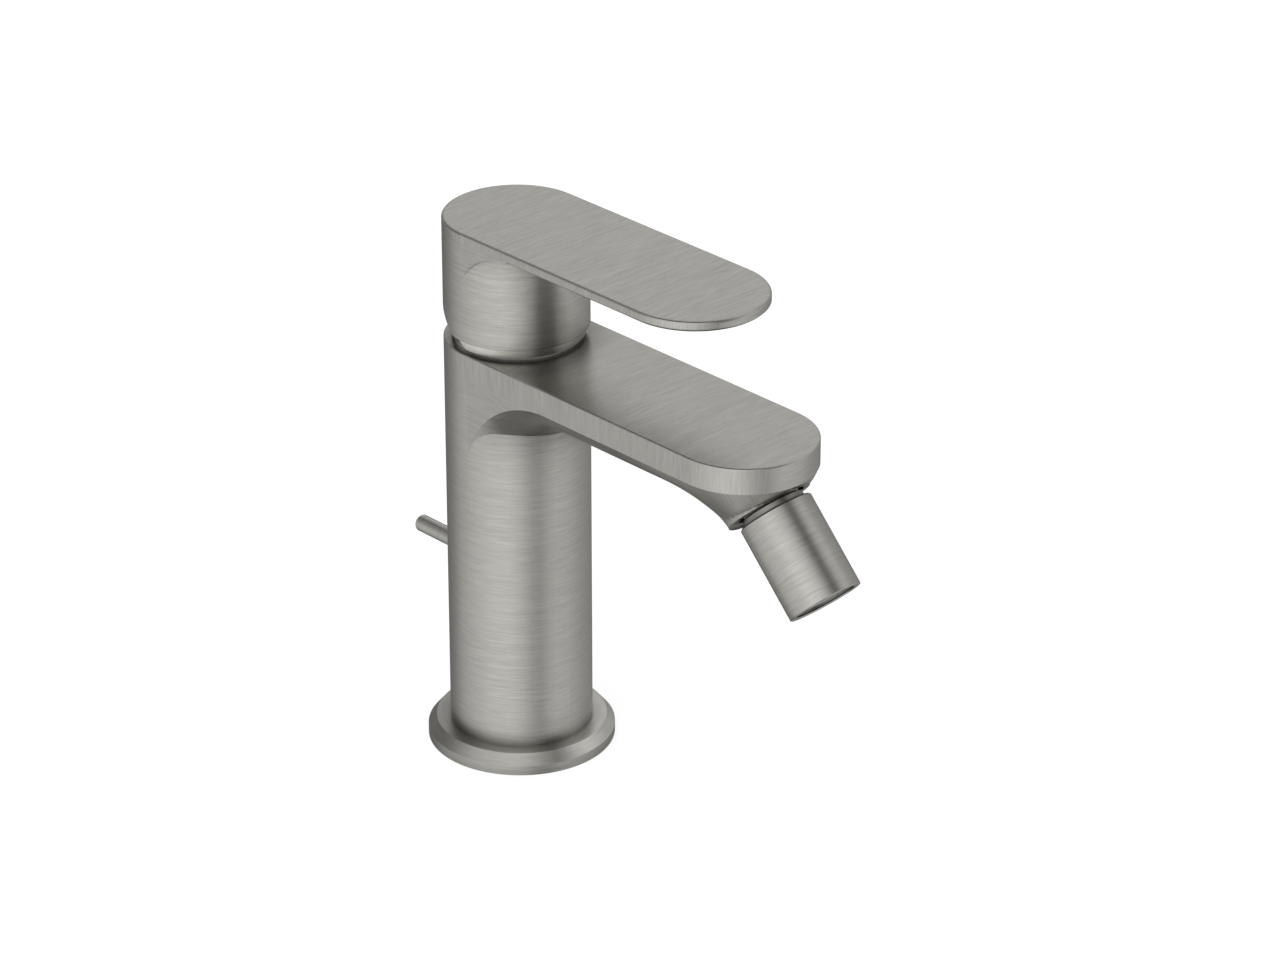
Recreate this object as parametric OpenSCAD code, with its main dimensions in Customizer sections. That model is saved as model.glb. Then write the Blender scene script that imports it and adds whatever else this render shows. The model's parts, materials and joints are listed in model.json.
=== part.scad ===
// Single lever bidet mixer: column body with flat spout, swivelling nozzle, lever and drain control.
// Origin on the deck plane in the centre of the base, +Z up, +X along the spout, symmetric about Y.

/* [Base flange] */
// outer radius of the flange
flange_r = 29.6; // [27:0.1:33]
// height of the upright wall of the flange
flange_wall_h = 3.2; // [2.4:0.1:4]
// full height of the flange
flange_h = 6.4; // [5.4:0.1:8]
// width of the sloping edge of the flange
flange_slope_w = 2.65; // [1.5:0.05:3.5]
// thickness of the rubber gasket let into the underside
gasket_t = 1.6; // [1.2:0.1:2]

/* [Column] */
// radius of the column, the hub and both rounded plate ends
body_r = 22.5; // [22.3:0.1:24]
// height of the top face of the spout
spout_top_z = 138.9; // [136:0.1:145]
// radius of the small rounding along the top edge
top_edge_r = 0.5; // [0.3:0.05:1]

/* [Spout] */
// distance from the column to the centre of the rounded spout end
spout_end_x = 98.5; // [98:0.1:104]
// height of the upright side face of the spout
spout_side_h = 8.25; // [7.5:0.05:9]
// depth of the belly under the side face
belly_depth = 12.3; // [11.5:0.1:13.5]
// steepness of the belly where it leaves the side face, in degrees
belly_edge_angle = 60; // [52:1:68]
// radius of the scoop that carries the side face into the column
scoop_r = 38; // [37.5:0.5:44]
// distance from the column axis at which that scoop begins
scoop_x = 37; // [33:0.5:37]
// distance from the column axis at which the belly starts to bend down
bend_start_x = 74; // [70:1:78]
// radius of the nozzle seat at the spout end
seat_r = 13.65; // [13.5:0.05:14.2]
// distance of the seat centre from the nozzle axis, towards the column
seat_offset = 1.35; // [1:0.05:1.5]

/* [Nozzle] */
// angle of the nozzle below the horizontal, in degrees
nozzle_angle = 46; // [45:0.5:47]
// distance of the nozzle seat centre from the column axis
seat_x = 110.2; // [110:0.1:110.8]
// distance of the nozzle seat centre below the top face of the spout
seat_drop = 18.5; // [18.2:0.1:19]
// outer radius of the nozzle sleeve
nozzle_r = 11.7; // [11.5:0.05:12]
// length of the nozzle sleeve
nozzle_len = 30.5; // [28:0.5:34]
// distance between the seat and the nozzle sleeve
nozzle_gap = 2.25; // [2.1:0.05:2.8]
// radius of the ball
ball_r = 10.3; // [10:0.05:10.4]
// distance of the ball centre behind the seat
ball_depth = 5.2; // [5:0.05:5.5]

/* [Lever] */
// height of the top face of the lever
lever_top_z = 178.6; // [176:0.1:186]
// distance from the column to the centre of the rounded lever end
lever_end_x = 77.6; // [70:0.1:90]
// thickness of the lever plate
lever_t = 3.1; // [2.8:0.1:4]
// radius of the scoop that carries the plate into the hub
lever_scoop_r = 24; // [23:0.5:28]
// distance from the hub axis at which the lever scoop begins
lever_scoop_x = 21; // [18:0.5:21]
// gap between the underside of the hub and the column at the front
hub_gap = 1.2; // [1.1:0.1:2]
// angle of the underside of the hub at the rear, in degrees
relief_angle = 32; // [26:0.5:34]
// distance in front of the axis at which that slope begins
relief_start = 0.5; // [0:0.1:1]
// height of the set back band at the lower end of the hub
hub_step_h = 3; // [2:0.1:3.4]
// depth by which that band is set back
hub_step_w = 1.1; // [0.8:0.05:1.3]
// largest lift of the lever, in degrees
lift_max = 18; // [10:1:18]

/* [Cartridge] */
// radius of the cartridge housing
cartridge_r = 17.5; // [17.4:0.05:17.6]
// distance from the top face down to the floor of the cartridge chamber
chamber_depth = 30.9; // [30.8:0.1:31.4]
// distance of each inlet passage from the middle plane
port_y = 7.5; // [7.4:0.1:7.7]
// radius of each inlet passage
port_r = 3.0; // [2.6:0.1:3.1]

/* [Drain control] */
// height of the drain pin with the drain control down
drain_pin_z = 56.4; // [50:0.1:60]
// radius of the drain pin
drain_pin_r = 2.75; // [2.5:0.05:3]
// length of the drain pin that stands out of the column
drain_pin_reach = 24.5; // [20:0.5:30]
// travel of the drain control
drain_stroke = 25; // [15:1:30]
// distance of the lift rod behind the column axis
rod_x = 12; // [11.8:0.1:12]
// radius of the lift rod
rod_r = 2.5; // [2.4:0.05:2.6]

/* [Inlets] */
// distance of each hose inlet from the middle plane
inlet_y = 9; // [8.9:0.1:9.2]
// radius of each threaded hose inlet
inlet_r = 5; // [5:0.1:5]
// depth of each threaded hose inlet
inlet_len = 12; // [10:0.5:16]
// distance of the fixing stud hole in front of the column axis
stud_x = 12; // [11:0.1:12.2]
// radius of the fixing stud hole
stud_r = 3; // [3:0.1:4]

/* [Fits] */
// gap between a part that moves and what it moves in
move_gap = 0.3; // [0.25:0.05:0.4]
// radial gap of a running fit
run_gap = 0.05; // [0.02:0.01:0.1]

/* [Hidden] */
// number of sides used for round shapes
$fn = 96;
// small overlap that joins two solids or clears a cut
eps = 0.5;
// radius at the top of the flange slope
flange_top_r = flange_r - flange_slope_w;
// radius of the spigot below the column
spigot_r = 17;
// height of the underside of the spigot over the deck
spigot_z = 0.5;
// inner and outer radius of the gasket
gasket_in_r = spigot_r + 2;
gasket_out_r = flange_r - 2.2;
// level of the crease between the side face and the belly
crease_z = spout_top_z - spout_side_h;
// height of the nozzle seat centre
seat_z = spout_top_z - seat_drop;
// position of the ball centre
ball_x = seat_x - ball_depth * cos(nozzle_angle);
ball_z = seat_z + ball_depth * sin(nozzle_angle);
// radius of the bore in the seat that the ball sits in
ball_bore_r = 10.8;
// inner and outer radius of the cup seal behind the ball
seal_in_r = ball_r + 0.15;
seal_out_r = 11.2;
// radius of the cup that holds the seal
cup_r = seal_out_r + 0.15;
// steps along the outlines of the cup, of each side of its seal and of the ball
cup_steps = 14;
seal_steps = 8;
ball_steps = 24;
// polar angles at which the seal shell begins and ends, measured from the rear
seal_from = 35;
seal_to = 62;
// radius of the water passage in the spout
spout_bore_r = 4;
// height of the water passage in the spout
spout_bore_z = spout_top_z - 8.4;
// start of the water passage inside the cartridge chamber
spout_bore_x = 16;
// groove for the snap ring in front of the ball
ring_s0 = 2.4;
ring_s1 = 3.6;
ring_out_r = 11.3;
ring_in_r0 = 10.15;
ring_in_r1 = 9.8;
ring_split_w = 3;
// radius of the cartridge chamber
chamber_r = 19;
// floor of the cartridge chamber
floor_z = spout_top_z - chamber_depth;
// levels of the cartridge, from the floor of the chamber upwards
base_top_z = floor_z + 4;
lower_disc_z0 = floor_z + 3;
lower_disc_z1 = floor_z + 7;
upper_disc_z0 = lower_disc_z1 + run_gap;
upper_disc_z1 = floor_z + 10.3;
carrier_top_z = floor_z + 17.7;
turret_z0 = floor_z + 18;
shoulder_z0 = floor_z + 22;
shoulder_z1 = floor_z + 24;
cartridge_h = 35;
neck_top_z = floor_z + cartridge_h;
// pivot of the lever, just above the top face of the column
pivot_h = 32.5;
pivot_z = floor_z + pivot_h;
// length from the pivot to the ball tip of the spindle
spindle_arm = 17;
tip_z = pivot_z - spindle_arm;
tip_r = 3.2;
arm_r = 2.4;
// half width of the square spindle
spindle_half = 3.8;
// half thickness of the spindle between the turret cheeks
cheek_half = 4;
spindle_top_z = pivot_z + 27.5;
arm_top_z = pivot_z - 4;
// pivot pin
pivot_pin_r = 1.5;
pivot_pin_half = 11.2;
// turret
turret_r = 11.75;
turret_flange_r = 14.5;
neck_r = 14;
neck_bore_r = turret_r + move_gap;
cavity_r = 15.5;
prong_y0 = 7.3;
prong_y1 = 10.4;
prong_x = 4.5;
prong_z0 = upper_disc_z1 + 1.2;
// ceramic discs and the carrier above them
lower_disc_r = 13;
upper_disc_r = 12;
disc_travel = 5.26;
disc_x = -disc_travel / 2;
carrier_r = 9.3;
carrier_flat_y = prong_y0 - move_gap;
carrier_boss_r = 6;
carrier_boss_h = 1;
pocket_r = tip_r + 0.35;
outlet_x = -6.5;
outlet_r = 2.6;
cavity_x0 = -10.6;
cavity_x1 = -3.6;
cavity_y = 8;
cavity_h = 1.5;
// port seals in the underside of the cartridge
seal_ring_r = 4.4;
seal_ring_h = 1.5;
// retaining nut of the cartridge
nut_r = chamber_r - run_gap;
nut_bore_r = neck_r + 0.2;
nut_top_z = shoulder_z1 + 5.6;
nut_slot_w = 4;
nut_slot_h = 2;
nut_slots = 4;
// domed cover around the cartridge neck
cover_in_r = neck_r + 0.2;
cover_t = 1.3;
cover_top_angle = 40;
cover_steps = 16;
// lever and hub
hub_z0 = spout_top_z + hub_gap;
lever_edge_r = 0.9;
lever_low_edge = 0.5;
hub_bore_r = 20.2;
cover_r = hub_bore_r - move_gap;
// taper of the band at the lower end of the hub, and the reach of its cut
hub_step_taper = 0.15;
hub_step_clear = 3;
hub_roof_z = pivot_z + 17.5;
boss_r = 9;
boss_z0 = pivot_z + 9;
socket_half = spindle_half + run_gap;
socket_top_z = spindle_top_z + 0.3;
screw_z = pivot_z + 19.5;
screw_r = 2.5;
screw_len = 8.2;
screw_key_r = 1.45;
screw_key_len = 3;
// steps along a small rounded edge
edge_steps = 4;
// drain control
rod_bore_r = 3.3;
rod_bore_top_z = drain_pin_z + drain_stroke + 12;
rod_z0 = 0.8;
head_r = 3.0;
head_h = 12;
head_z0 = drain_pin_z - head_h / 2;
pin_tip_r = 1.75;
pin_tip_len = 4.5;
pin_round = 0.8;
// gap between the shoulder of the drain pin and the rod head
pin_gap = 0.1;
bush_out_r = 4.2;
bush_len = 9;
slot_half = drain_pin_r + 0.35;
stud_len = 14;
// nozzle sleeve, distances measured along the nozzle from the ball centre
sleeve_s0 = ball_depth + nozzle_gap;
sleeve_s1 = sleeve_s0 + nozzle_len;
collar_s0 = ball_depth + 0.6;
collar_r = 9.9;
neck_thread_r = 6.5;
neck_s1 = sleeve_s0 + 6.5;
ball_water_r = 4.5;
sleeve_bore_r = 8.4;
aerator_bore_r = 9.65;
aerator_s0 = sleeve_s1 - 14;
sleeve_edge = 0.5;
sleeve_low_edge = 0.2;
aerator_seal_t = 1.2;
aerator_seal_in_r = sleeve_bore_r - 1;
aerator_body_s1 = sleeve_s1 - 5;
aerator_skirt_r = 8.9;
aerator_skirt_s1 = sleeve_s1 - 1.2;
aerator_in_r = 7.9;
aerator_top_t = 1.5;
aerator_throat_r = 5.5;
grid_t = 1;
grid_s1 = aerator_skirt_s1 - 0.3;
grid_pitch = 2.1;
grid_hole = 1.5;
grid_reach = 6.9;
// share of the pitch from the middle of a hole to its outer corner
grid_corner = 0.5;
// loft of the belly: stations in the bend and round the spout end, and points along half a station
loft_bend = 8;
loft_fan = 18;
loft_side = 18;
// stations where the scoop meets the column
loft_scoop_x = [0, 4, 8, 11, 14, 17, 20, 23, 26, 30, 34, 38];
// the belly lies this far inside the outline, starts this far above the crease and
// ends this far up in the plate
loft_inset = 0.06;
loft_lift = 0.05;
loft_rise = 0.6;
loft_r = body_r - loft_inset;
// the last station sits at this angle round the spout end
loft_end_angle = 84.9;
loft_end_x = spout_end_x + loft_r * sin(loft_end_angle);
// towards the column the belly gets deeper by this much over this length
column_deepen = 2;
column_run = 15;
// curve of the lowest line, lean of the stations and change of the section along the bend
bend_low_power = 3.05;
bend_lean_power = 2.63;
bend_turn_power = 1.09;
// how far the sides of the bend bulge out
bend_bow = 1.05;

// arc points from one angle to another
function arc(cx, cy, rx, ry, a0, a1, n) =
  [for (i = [0 : n]) [cx + rx * cos(a0 + (a1 - a0) * i / n), cy + ry * sin(a0 + (a1 - a0) * i / n)]];

// half outline of a plate with a rounded upper edge and a small chamfer below
function plate_half(r, z0, z1, round_r, low) =
  concat([[0, z0], [r - low, z0], [r, z0 + low]],
    arc(r - round_r, z1 - round_r, round_r, round_r, 0, 90, edge_steps), [[0, z1]]);

// plate with two round ends
module long_plate(end_x, r, z0, z1, round_r, low) {
  half = plate_half(r, z0, z1, round_r, low);
  rotate_extrude() polygon(half);
  translate([end_x, 0, 0]) rotate_extrude() polygon(half);
  rotate([90, 0, 90]) linear_extrude(end_x) union() {
    polygon(half);
    mirror([1, 0]) polygon(half);
  }
}

// places its children on the nozzle axis with the ball centre at their origin
module on_nozzle() {
  translate([ball_x, 0, ball_z]) rotate([0, 90 + nozzle_angle, 0]) children();
}

// half width of the spout outline at a distance from the column
function plan_half(x) =
  x <= spout_end_x ? loft_r : sqrt(max(0, loft_r * loft_r - pow(x - spout_end_x, 2)));

// drop of the crease where it scoops into the column
function scoop_drop(x) =
  x >= scoop_x ? 0 : scoop_r - sqrt(scoop_r * scoop_r - pow(scoop_x - x, 2));

// depth of the belly under the crease along the straight part
function straight_depth(x) =
  belly_depth + (x >= scoop_x ? 0 : column_deepen * pow((scoop_x - x) / column_run, 2));

// one point of the belly section: f runs from the crease to the middle
function belly_y(w, f) = w * sin(belly_edge_angle * (1 - f)) / sin(belly_edge_angle);
function belly_v(d, f) =
  -d * (cos(belly_edge_angle * (1 - f)) - cos(belly_edge_angle)) / (1 - cos(belly_edge_angle));

// smooth step
function ease(t) = t * t * (3 - 2 * t);

// seat centre of the last station and its distance below the crease
seat_cz = seat_z - seat_offset * cos(nozzle_angle);
seat_cx = loft_end_x + (seat_cz - crease_z) * tan(nozzle_angle);

// ring of a station: under the belly from side to side, then up and across inside the plate
function ring_from(half) = concat(
  [for (p = half) [p[0], -p[1], p[2]]],
  [for (i = [len(half) - 2 : -1 : 0]) half[i]],
  [for (side = [1, -1]) [half[0][0], side * half[0][1], crease_z + loft_rise]]);

// straight station of the belly
function straight_half(x) = [for (i = [0 : loft_side]) let (f = i / loft_side)
  [x, belly_y(loft_r, f), crease_z + loft_lift - scoop_drop(x) + belly_v(straight_depth(x), f)]];

// lowest point of the seat circle, and how far the last station leans back
seat_low_x = seat_cx - seat_r * sin(nozzle_angle);
seat_low_z = seat_cz - seat_r * cos(nozzle_angle);
bend_lean = loft_end_x - seat_low_x;

// lowest point of the belly at a station in the bend
function bend_low_x(x) =
  x - bend_lean * pow(max(0, x - bend_start_x) / (loft_end_x - bend_start_x), bend_lean_power);
function bend_low_z(xb) = crease_z - belly_depth - (crease_z - belly_depth - seat_low_z)
  * pow(max(0, xb - bend_start_x) / (seat_low_x - bend_start_x), bend_low_power);

// point on the line from the crease to a circle below it and on round that circle, for f from 0 to 1
function hull_pt(w, cv, r, f) = let (
    at = atan2(-cv, w) - acos(min(1, r / norm([w, cv]))),
    tan_y = r * cos(at),
    tan_v = cv + r * sin(at),
    line = norm([w - tan_y, tan_v]),
    turn = r * (at + 90) * PI / 180,
    s = f * (line + turn),
    q = s / line,
    a = at - (s - line) / r * 180 / PI)
  s < line ? [w + (tan_y - w) * q + bend_bow * 4 * q * (1 - q) * abs(tan_v) / line, tan_v * q]
    : [r * cos(a), cv + r * sin(a)];

// station in the bend: the belly section leans over and turns into the seat circle
function bend_half(x) = let (
    w = plan_half(x),
    xb = bend_low_x(x),
    zb = bend_low_z(xb),
    lean = atan2(x - xb, crease_z - zb),
    d = norm([x - xb, crease_z - zb]),
    k = ease(pow((x - bend_start_x) / (loft_end_x - bend_start_x), bend_turn_power)))
  [for (i = [0 : loft_side]) let (
    f = i / loft_side,
    h = hull_pt(w, seat_r - d, seat_r, f),
    y = (1 - k) * belly_y(w, f) + k * h[0],
    v = loft_lift + (1 - k) * belly_v(d, f) + k * h[1])
    [x + v * sin(lean), y, crease_z + v * cos(lean)]];

// belly of the spout as one closed skin over all stations
module belly() {
  rings = concat(
    [for (x = loft_scoop_x) ring_from(straight_half(x))],
    [ring_from(straight_half((scoop_x + bend_start_x) / 2))],
    [for (i = [0 : loft_bend])
      ring_from(bend_half(bend_start_x + (spout_end_x - bend_start_x) * i / loft_bend))],
    [for (i = [1 : loft_fan])
      ring_from(bend_half(spout_end_x + loft_r * sin(loft_end_angle * i / loft_fan)))]);
  m = len(rings[0]);
  n = len(rings);
  first = [loft_scoop_x[0], 0, crease_z - scoop_drop(0)];
  last = [seat_cx, 0, seat_cz];
  points = concat([for (r = rings) for (p = r) p], [first, last]);
  sides = [for (k = [0 : n - 2]) for (i = [0 : m - 1]) let (j = (i + 1) % m)
    each [[k * m + j, k * m + i, (k + 1) * m + j], [(k + 1) * m + j, k * m + i, (k + 1) * m + i]]];
  start = [for (i = [0 : m - 1]) [n * m, i, (i + 1) % m]];
  finish = [for (i = [0 : m - 1]) [n * m + 1, (n - 1) * m + (i + 1) % m, (n - 1) * m + i]];
  polyhedron(points = points, faces = concat(sides, start, finish), convexity = 6);
}

module body() {
  color([0.62, 0.61, 0.58]) difference() {
    union() {
      translate([0, 0, flange_h]) cylinder(r = body_r, h = crease_z + eps - flange_h);
      translate([0, 0, spigot_z]) cylinder(r = spigot_r, h = flange_h + eps - spigot_z);
      long_plate(spout_end_x, body_r, crease_z, spout_top_z, top_edge_r, 0);
      belly();
    }
    // cartridge chamber
    translate([0, 0, floor_z]) cylinder(r = chamber_r, h = chamber_depth + eps);
    // inlets and their passages
    for (side = [-1, 1]) {
      translate([0, side * inlet_y, spigot_z - eps]) cylinder(r = inlet_r, h = inlet_len + eps);
      translate([0, side * port_y, spigot_z]) cylinder(r = port_r, h = floor_z);
    }
    // fixing stud
    translate([stud_x, 0, spigot_z - eps]) cylinder(r = stud_r, h = stud_len + eps);
    // passage to the nozzle
    translate([spout_bore_x, 0, spout_bore_z]) rotate([0, 90, 0])
      cylinder(r = spout_bore_r, h = ball_x - spout_bore_x);
    on_nozzle() {
      ball_cup();
      cylinder(r = ball_bore_r, h = ball_depth + eps);
      translate([0, 0, ring_s0 - run_gap])
        cylinder(r = ring_out_r + run_gap, h = ring_s1 - ring_s0 + 2 * run_gap);
    }
    // lift rod with its slot
    translate([-rod_x, 0, spigot_z - eps]) cylinder(r = rod_bore_r, h = rod_bore_top_z);
    translate([-rod_x, 0, spigot_z - eps]) cylinder(r = bush_out_r, h = bush_len + eps);
    translate([-body_r - eps, -slot_half, drain_pin_z])
      cube([body_r + eps - rod_x, 2 * slot_half, drain_stroke]);
    for (z = [drain_pin_z, drain_pin_z + drain_stroke])
      translate([-body_r - eps, 0, z]) rotate([0, 90, 0]) cylinder(r = slot_half, h = body_r + eps - rod_x);
  }
}

// round cup behind the ball
module ball_cup() {
  rotate_extrude() polygon(concat([[0, 0]], [[ball_bore_r, 0]],
    arc(0, 0, cup_r, cup_r, -acos(ball_bore_r / cup_r), -90, cup_steps)));
}

module base_flange() {
  color([0.62, 0.61, 0.58]) rotate_extrude() polygon([
    [spigot_r + run_gap, gasket_t], [spigot_r + run_gap, flange_h],
    [flange_top_r, flange_h], [flange_r, flange_wall_h], [flange_r, 0],
    [gasket_out_r, 0], [gasket_out_r, gasket_t], [gasket_in_r, gasket_t]
  ]);
}

module base_gasket() {
  color([0.12, 0.12, 0.12]) difference() {
    cylinder(r = gasket_out_r, h = gasket_t);
    translate([0, 0, -eps]) cylinder(r = gasket_in_r, h = gasket_t + 2 * eps);
  }
}

module cartridge_base() {
  color([0.85, 0.85, 0.82]) difference() {
    translate([0, 0, floor_z]) cylinder(r = cartridge_r, h = base_top_z - floor_z);
    translate([0, 0, lower_disc_z0]) cylinder(r = lower_disc_r + run_gap, h = base_top_z);
    for (side = [-1, 1]) {
      translate([0, side * port_y, floor_z - eps]) cylinder(r = port_r, h = base_top_z);
      translate([0, side * port_y, floor_z - eps]) cylinder(r = seal_ring_r, h = seal_ring_h + eps);
    }
    translate([outlet_x, 0, floor_z + seal_ring_h]) cylinder(r = outlet_r, h = base_top_z);
    translate([-cartridge_r - eps, -outlet_r, floor_z - eps])
      cube([cartridge_r + eps + outlet_x + outlet_r, 2 * outlet_r, seal_ring_h + 2 * eps]);
  }
}

module port_seals() {
  color([0.1, 0.1, 0.1]) for (side = [-1, 1]) translate([0, side * port_y, floor_z]) difference() {
    cylinder(r = seal_ring_r, h = seal_ring_h);
    translate([0, 0, -eps]) cylinder(r = port_r, h = seal_ring_h + 2 * eps);
  }
}

module lower_disc() {
  color([0.93, 0.92, 0.88]) difference() {
    translate([0, 0, lower_disc_z0]) cylinder(r = lower_disc_r, h = lower_disc_z1 - lower_disc_z0);
    for (side = [-1, 1])
      translate([0, side * port_y, lower_disc_z0 - eps]) cylinder(r = port_r, h = base_top_z);
    translate([outlet_x, 0, lower_disc_z0 - eps]) cylinder(r = outlet_r, h = base_top_z);
  }
}

module upper_disc() {
  color([0.93, 0.92, 0.88]) difference() {
    translate([disc_x, 0, upper_disc_z0]) cylinder(r = upper_disc_r, h = upper_disc_z1 - upper_disc_z0);
    translate([cavity_x0, -cavity_y, upper_disc_z0 - eps])
      cube([cavity_x1 - cavity_x0, 2 * cavity_y, cavity_h + eps]);
    translate([0, 0, upper_disc_z1 - carrier_boss_h])
      cylinder(r = carrier_boss_r + run_gap, h = carrier_boss_h + eps);
  }
}

module disc_carrier() {
  color([0.3, 0.32, 0.36]) difference() {
    union() {
      intersection() {
        translate([0, 0, upper_disc_z1]) cylinder(r = carrier_r, h = carrier_top_z - upper_disc_z1);
        translate([-carrier_r, -carrier_flat_y, upper_disc_z1])
          cube([2 * carrier_r, 2 * carrier_flat_y, carrier_top_z - upper_disc_z1]);
      }
      translate([0, 0, upper_disc_z1 - carrier_boss_h])
        cylinder(r = carrier_boss_r, h = carrier_boss_h + eps);
    }
    translate([0, 0, tip_z - tip_r - move_gap]) cylinder(r = pocket_r, h = base_top_z);
  }
}

module cartridge_housing() {
  color([0.88, 0.88, 0.85]) rotate_extrude() polygon([
    [cavity_r, base_top_z], [cartridge_r, base_top_z], [cartridge_r, shoulder_z1],
    [neck_r, shoulder_z1], [neck_r, neck_top_z], [neck_bore_r, neck_top_z],
    [neck_bore_r, shoulder_z0], [cavity_r, shoulder_z0]
  ]);
}

module stem_turret() {
  lift = lift_max;
  rear_top = spindle_half / cos(lift) + (neck_top_z - pivot_z) * tan(lift) + move_gap;
  front_low = spindle_half / cos(lift) + (pivot_z - turret_z0) * tan(lift) + move_gap;
  side = spindle_half + move_gap;
  color([0.25, 0.27, 0.3]) difference() {
    union() {
      translate([0, 0, turret_z0]) cylinder(r = turret_flange_r, h = shoulder_z0 - move_gap - turret_z0);
      translate([0, 0, turret_z0]) cylinder(r = turret_r, h = neck_top_z - turret_z0);
      for (s = [-1, 1]) translate([-prong_x, s > 0 ? prong_y0 : -prong_y1, prong_z0])
        cube([2 * prong_x, prong_y1 - prong_y0, turret_z0 + eps - prong_z0]);
    }
    rotate([90, 0, 0]) linear_extrude(2 * (cheek_half + move_gap), center = true) polygon([
      [-rear_top, neck_top_z + eps], [side, neck_top_z + eps], [side, pivot_z],
      [front_low, turret_z0 - eps], [-side, turret_z0 - eps], [-side, pivot_z - move_gap]
    ]);
    translate([0, 0, pivot_z]) rotate([90, 0, 0])
      cylinder(r = pivot_pin_r, h = 2 * pivot_pin_half, center = true);
  }
}

module pivot_pin() {
  color([0.75, 0.75, 0.76]) translate([0, 0, pivot_z]) rotate([90, 0, 0])
    cylinder(r = pivot_pin_r, h = 2 * pivot_pin_half, center = true);
}

module lever_spindle() {
  color([0.72, 0.72, 0.74]) difference() {
    union() {
      translate([-spindle_half, -spindle_half, pivot_z])
        cube([2 * spindle_half, 2 * spindle_half, spindle_top_z - pivot_z]);
      translate([-spindle_half, -cheek_half, arm_top_z])
        cube([2 * spindle_half, 2 * cheek_half, pivot_z + cheek_half - arm_top_z]);
      translate([0, 0, tip_z]) cylinder(r = arm_r, h = arm_top_z + eps - tip_z);
      translate([0, 0, tip_z]) sphere(r = tip_r);
    }
    translate([0, 0, pivot_z]) rotate([90, 0, 0])
      cylinder(r = pivot_pin_r + run_gap, h = 4 * cheek_half, center = true);
  }
}

module cartridge_nut() {
  color([0.8, 0.66, 0.35]) difference() {
    translate([0, 0, shoulder_z1]) cylinder(r = nut_r, h = nut_top_z - shoulder_z1);
    translate([0, 0, shoulder_z1 - eps]) cylinder(r = nut_bore_r, h = nut_top_z);
    for (i = [0 : nut_slots / 2 - 1]) rotate([0, 0, i * 360 / nut_slots])
      translate([-chamber_r, -nut_slot_w / 2, nut_top_z - nut_slot_h])
        cube([2 * chamber_r, nut_slot_w, nut_slot_h + eps]);
  }
}

module cover_ring() {
  color([0.1, 0.1, 0.1]) rotate_extrude() polygon(concat(
    [[cover_in_r, nut_top_z], [chamber_r - run_gap, nut_top_z],
     [chamber_r - run_gap, spout_top_z], [cover_r, spout_top_z]],
    arc(0, pivot_z, cover_r, cover_r, 0, cover_top_angle, cover_steps),
    arc(0, pivot_z, cover_r - cover_t, cover_r - cover_t, cover_top_angle, 0, cover_steps),
    [[cover_in_r, pivot_z]]));
}

// cut that sets back the band at the lower end of the hub
module hub_step_cut() {
  rotate_extrude() polygon([
    [body_r + hub_step_clear, -eps], [body_r - hub_step_w - hub_step_taper, -eps],
    [body_r - hub_step_w, hub_step_h], [body_r + hub_step_clear, hub_step_h]
  ]);
}

module lever_handle() {
  color([0.62, 0.61, 0.58]) difference() {
    union() {
      long_plate(lever_end_x, body_r, lever_top_z - lever_t, lever_top_z, lever_edge_r, lever_low_edge);
      translate([0, 0, hub_z0]) cylinder(r = body_r, h = lever_top_z - lever_t + eps - hub_z0);
      lever_scoop();
    }
    // underside of the hub, sloping up towards the rear
    translate([relief_start, 0, hub_z0]) rotate([0, relief_angle, 0])
      translate([-3 * body_r, -2 * body_r, -body_r]) cube([3 * body_r, 4 * body_r, body_r]);
    // band in front of the slope
    translate([0, 0, hub_z0]) hub_step_cut();
    // hollow of the hub around the boss
    rotate_extrude() polygon([
      [0, hub_z0 - eps], [hub_bore_r, hub_z0 - eps], [hub_bore_r, hub_roof_z],
      [boss_r, hub_roof_z], [boss_r, boss_z0], [0, boss_z0]
    ]);
    // square socket and grub screw hole
    translate([-socket_half, -socket_half, boss_z0 - eps])
      cube([2 * socket_half, 2 * socket_half, socket_top_z - boss_z0 + eps]);
    translate([-body_r - eps, 0, screw_z]) rotate([0, 90, 0]) cylinder(r = screw_r, h = body_r + eps);
  }
}

// web under the lever plate beside the hub, cut to a round scoop
module lever_scoop() {
  scoop_top = lever_top_z - lever_t;
  difference() {
    translate([0, -body_r, scoop_top - lever_scoop_r])
      cube([lever_scoop_x, 2 * body_r, lever_scoop_r + eps]);
    translate([lever_scoop_x, 0, scoop_top - lever_scoop_r]) rotate([90, 0, 0])
      cylinder(r = lever_scoop_r, h = 3 * body_r, center = true);
  }
}

module handle_screw() {
  color([0.35, 0.35, 0.36]) difference() {
    translate([-socket_half - screw_len, 0, screw_z]) rotate([0, 90, 0])
      cylinder(r = screw_r, h = screw_len + run_gap);
    translate([-socket_half - screw_len - eps, 0, screw_z]) rotate([0, 90, 0])
      cylinder(r = screw_key_r, h = screw_key_len + eps, $fn = 6);
  }
}

module drain_pin() {
  inner_x = -rod_x - head_r - pin_gap;
  outer_x = -body_r - drain_pin_reach;
  color([0.62, 0.61, 0.58]) translate([outer_x, 0, drain_pin_z]) rotate([0, 90, 0]) rotate_extrude()
    polygon(concat([[0, inner_x - outer_x + pin_tip_len]],
      [[0, 0]], arc(drain_pin_r - pin_round, pin_round, pin_round, pin_round, -90, 0, edge_steps),
      [[drain_pin_r, inner_x - outer_x], [pin_tip_r, inner_x - outer_x],
       [pin_tip_r, inner_x - outer_x + pin_tip_len]]));
}

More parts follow.
